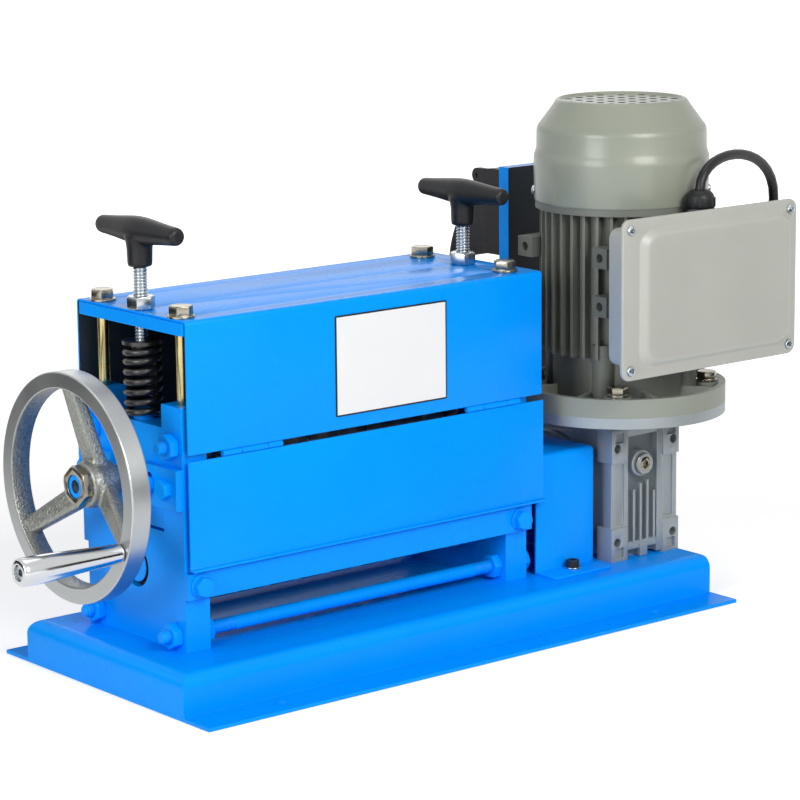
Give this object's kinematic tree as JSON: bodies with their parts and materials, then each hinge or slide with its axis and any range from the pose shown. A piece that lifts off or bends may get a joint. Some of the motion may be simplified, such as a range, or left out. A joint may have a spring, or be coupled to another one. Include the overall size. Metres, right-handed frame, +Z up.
{
  "type": "wire stripping machine",
  "caption": "Bench machine with a powered feed roller and spring-loaded disc blades in a guarded stand, a crank handwheel, a worm gearbox, an upright motor and a switch on a post.",
  "frame": {"origin": "centre of the four base mounting holes, on the plane the base stands on", "axes": "+X along the machine towards the motor, +Y towards the feed side, +Z up"},
  "size_m": [0.7977, 0.3295, 0.4515],
  "materials": {
    "blue_paint": "gloss azure paint",
    "bright_zinc": "bright zinc plate",
    "yellow_zinc": "yellow zinc plate",
    "bronze": "turned bronze",
    "cast_alloy": "cast, silver paint",
    "grey_paint": "cast alloy, warm grey paint",
    "light_grey": "light grey paint",
    "black_oxide": "black oxide",
    "black_plastic": "moulded",
    "lead_rubber": "satin jacket",
    "machined_steel": "turned",
    "ground_steel": "ground",
    "cast_iron": "bare cast spokes, machined rim",
    "chrome": "polished",
    "green_plastic": "moulded",
    "red_plastic": "moulded"
  },
  "bodies": {
    "frame": {"base_pan": "blue_paint", "base_bolts": "bright_zinc", "left_end_plate": "blue_paint", "right_end_plate": "blue_paint", "tie_rods": "blue_paint", "tie_rod_nuts": "blue_paint", "keeper_plates": "blue_paint", "frame_bolts": "blue_paint", "lower_bushes": "bronze", "cap_bars": "blue_paint", "cap_bolts": "yellow_zinc", "lock_nuts": "bright_zinc", "hood": "blue_paint", "hood_hinges": "blue_paint", "front_bar": "blue_paint", "feed_plate": "blue_paint", "gear_cover": "blue_paint", "gearbox_housing": "cast_alloy", "gearbox_covers": "cast_alloy", "input_flange": "cast_alloy", "motor_flange": "grey_paint", "flange_bolts": "yellow_zinc", "stator_frame": "grey_paint", "stator_core": "machined_steel", "fan_cover": "grey_paint", "terminal_box": "light_grey", "terminal_lid": "light_grey", "small_screws": "black_oxide", "capacitors": "black_plastic", "lead_glands": "black_plastic", "motor_lead": "lead_rubber", "switch_bracket": "blue_paint", "switch_body": "black_plastic"},
    "seats": {"spring_seats": "black_oxide"},
    "left_screw": {"left_screw": "machined_steel", "left_handle": "black_plastic"},
    "right_screw": {"right_screw": "machined_steel", "right_handle": "black_plastic"},
    "carriage": {"bearing_blocks": "blue_paint", "upper_bushes": "bronze", "guide_bolts": "blue_paint", "loading_springs": "black_oxide"},
    "blade_rotor": {"blade_shaft": "machined_steel", "cutting_blades": "ground_steel", "blade_spacers": "machined_steel", "blade_gear": "machined_steel", "handwheel": "cast_iron", "wheel_fasteners": "machined_steel"},
    "crank_grip": {"crank_grip": "chrome"},
    "feed_rotor": {"feed_roller": "machined_steel", "roller_gear": "machined_steel", "worm_wheel": "bronze"},
    "motor_rotor": {"worm": "machined_steel", "rotor": "machined_steel", "cooling_fan": "black_plastic"},
    "flap": {"flap": "blue_paint", "flap_hinges": "blue_paint"},
    "switch_paddle": {"switch_paddle": "black_plastic"},
    "start_button": {"start_button": "green_plastic"},
    "stop_button": {"stop_button": "red_plastic"}
  },
  "joints": [
    {"name": "seat_slide", "type": "slide", "parent": "frame", "child": "seats", "axis": [0, 0, 1], "range_m": [-0.00175, 0.00175]},
    {"name": "screw_turn", "type": "hinge", "parent": "seats", "child": "left_screw", "pos_m": [-0.24, 0.008, 0.33], "axis": [0, 0, 1], "range_deg": [-360, 360]},
    {"name": "right_screw_turn", "type": "hinge", "parent": "seats", "child": "right_screw", "pos_m": [0.104, 0.008, 0.33], "axis": [0, 0, 1], "range_deg": [-360, 360]},
    {"name": "blade_float", "type": "slide", "parent": "seats", "child": "carriage", "axis": [0, 0, 1], "range_m": [0, 0.0025], "stiffness_N_per_m": 80000, "springref_m": -0.003, "deforming": ["loading_springs"]},
    {"name": "blade_spin", "type": "hinge", "parent": "carriage", "child": "blade_rotor", "pos_m": [-0.06, 0.008, 0.173], "axis": [1, 0, 0], "continuous": true},
    {"name": "grip_spin", "type": "hinge", "parent": "blade_rotor", "child": "crank_grip", "pos_m": [-0.3658, -0.06863, 0.13396], "axis": [1, 0, 0], "continuous": true},
    {"name": "roller_spin", "type": "hinge", "parent": "frame", "child": "feed_rotor", "pos_m": [-0.06, 0.008, 0.098], "axis": [1, 0, 0], "continuous": true},
    {"name": "motor_spin", "type": "hinge", "parent": "frame", "child": "motor_rotor", "pos_m": [0.248, -0.042, 0.28], "axis": [0, 0, 1], "continuous": true},
    {"name": "flap_hinge", "type": "hinge", "parent": "frame", "child": "flap", "pos_m": [-0.06, -0.067, 0.19925], "axis": [-1, 0, 0], "range_deg": [0, 115]},
    {"name": "paddle_hinge", "type": "hinge", "parent": "frame", "child": "switch_paddle", "pos_m": [0.262, 0.1265, 0.3685], "axis": [1, 0, 0], "range_deg": [-16, 80]},
    {"name": "start_press", "type": "slide", "parent": "frame", "child": "start_button", "axis": [0, -1, 0], "range_m": [0, 0.003], "stiffness_N_per_m": 600, "springref_m": -0.001},
    {"name": "stop_press", "type": "slide", "parent": "frame", "child": "stop_button", "axis": [0, -1, 0], "range_m": [0, 0.003], "stiffness_N_per_m": 600, "springref_m": -0.001}
  ],
  "couplings": [
    {"joint": "screw_turn", "follows": "seat_slide", "rad_per_m": 3590.4},
    {"joint": "right_screw_turn", "follows": "seat_slide", "rad_per_m": 3590.4},
    {"joint": "blade_spin", "follows": "roller_spin", "ratio": -1},
    {"joint": "motor_spin", "follows": "roller_spin", "ratio": 20}
  ]
}
